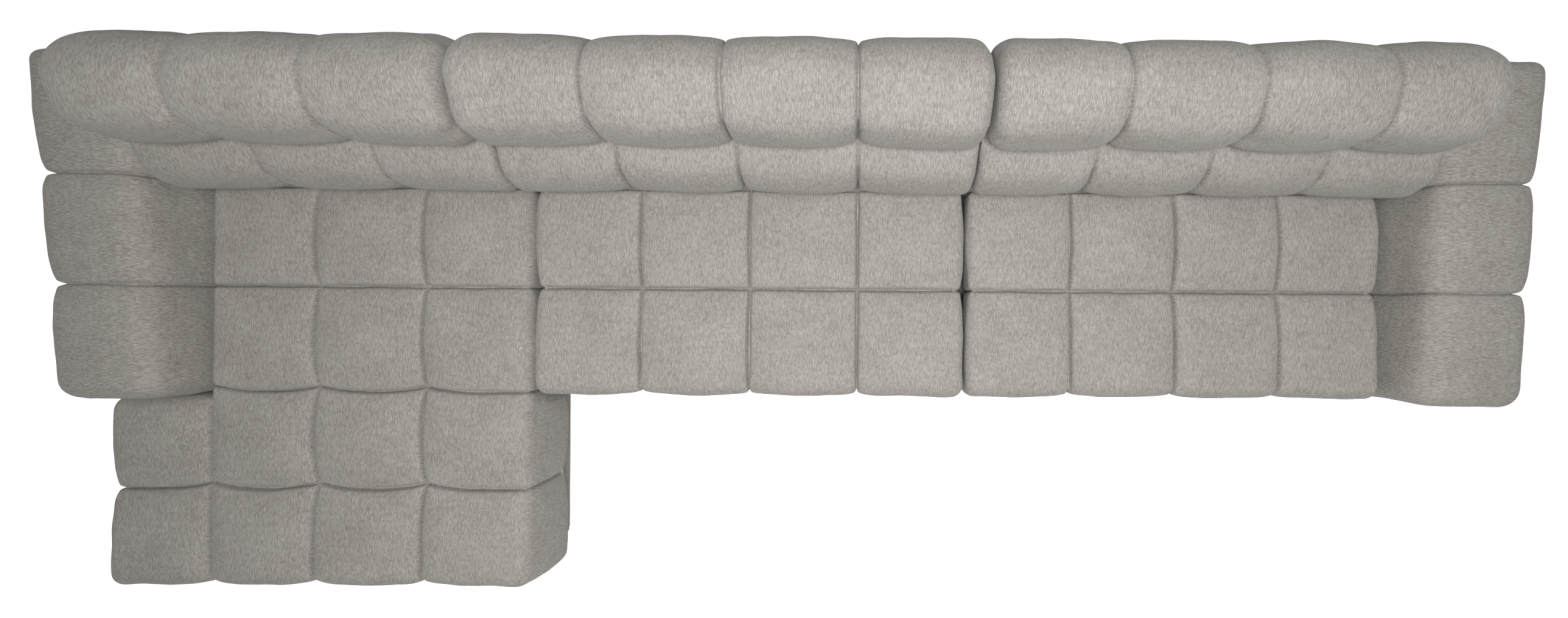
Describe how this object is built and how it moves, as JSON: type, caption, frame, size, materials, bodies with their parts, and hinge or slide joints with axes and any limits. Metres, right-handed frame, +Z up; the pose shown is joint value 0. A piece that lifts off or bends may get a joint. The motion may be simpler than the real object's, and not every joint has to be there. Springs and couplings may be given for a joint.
{
  "type": "sectional sofa with chaise",
  "caption": "Sectional sofa with a left-hand chaise: square-tufted seats, a rolled back over lower pads, padded arms, and sections that lift apart at hook connectors.",
  "frame": {"origin": "on the floor, under the middle of the sofa's box", "axes": "+X along the sofa towards the right arm, +Y towards the back, +Z up"},
  "size_m": [4.1194, 1.5417, 0.9409],
  "materials": {
    "tufted_fabric": "soft crinkled chenille, matt",
    "plain_fabric": "the same cloth pulled flat over boards",
    "frame_wood": "planed, unfinished",
    "spring_steel": "oil-tempered wire",
    "deck_felt": "needled felt",
    "dust_cloth": "non-woven cloth",
    "elastic_webbing": "woven elastic",
    "foot_plastic": "matt black",
    "fastener_steel": "zinc plated",
    "connector_steel": "black painted"
  },
  "bodies": {
    "middle_section": {"middle_back_frame": "frame_wood", "middle_back_pad": "tufted_fabric", "middle_back_panel": "plain_fabric", "middle_back_roll": "tufted_fabric", "middle_back_webbing": "elastic_webbing", "middle_base_band": "plain_fabric", "middle_deck_pad": "deck_felt", "middle_dust_cover": "dust_cloth", "middle_feet": "foot_plastic", "middle_foot_bolts": "fastener_steel", "middle_receiver_screws": "fastener_steel", "middle_receivers": "connector_steel", "middle_seat_cushion": "tufted_fabric", "middle_seat_frame": "frame_wood", "middle_seat_springs": "spring_steel", "middle_spring_clips": "spring_steel"},
    "chaise_section": {"chaise_back_frame": "frame_wood", "chaise_back_pad": "tufted_fabric", "chaise_back_panel": "plain_fabric", "chaise_back_roll": "tufted_fabric", "chaise_back_webbing": "elastic_webbing", "chaise_base_band": "plain_fabric", "chaise_deck_pad": "deck_felt", "chaise_dust_cover": "dust_cloth", "chaise_feet": "foot_plastic", "chaise_foot_bolts": "fastener_steel", "chaise_seat_cushion": "tufted_fabric", "chaise_seat_frame": "frame_wood", "chaise_seat_springs": "spring_steel", "chaise_spring_clips": "spring_steel", "chaise_tongue": "connector_steel", "chaise_tongue_screws": "fastener_steel", "left_arm_bolts": "fastener_steel", "left_arm_frame": "frame_wood", "left_arm_pad": "tufted_fabric"},
    "right_section": {"right_arm_bolts": "fastener_steel", "right_arm_frame": "frame_wood", "right_arm_pad": "tufted_fabric", "right_back_frame": "frame_wood", "right_back_pad": "tufted_fabric", "right_back_panel": "plain_fabric", "right_back_roll": "tufted_fabric", "right_back_webbing": "elastic_webbing", "right_base_band": "plain_fabric", "right_deck_pad": "deck_felt", "right_dust_cover": "dust_cloth", "right_feet": "foot_plastic", "right_foot_bolts": "fastener_steel", "right_seat_cushion": "tufted_fabric", "right_seat_frame": "frame_wood", "right_seat_springs": "spring_steel", "right_spring_clips": "spring_steel", "right_tongue": "connector_steel", "right_tongue_screws": "fastener_steel"}
  },
  "joints": [
    {"name": "chaise_lift", "type": "slide", "parent": "middle_section", "child": "chaise_section", "axis": [0, 0, 1], "range_m": [0, 0.08]},
    {"name": "right_lift", "type": "slide", "parent": "middle_section", "child": "right_section", "axis": [0, 0, 1], "range_m": [0, 0.08]}
  ]
}
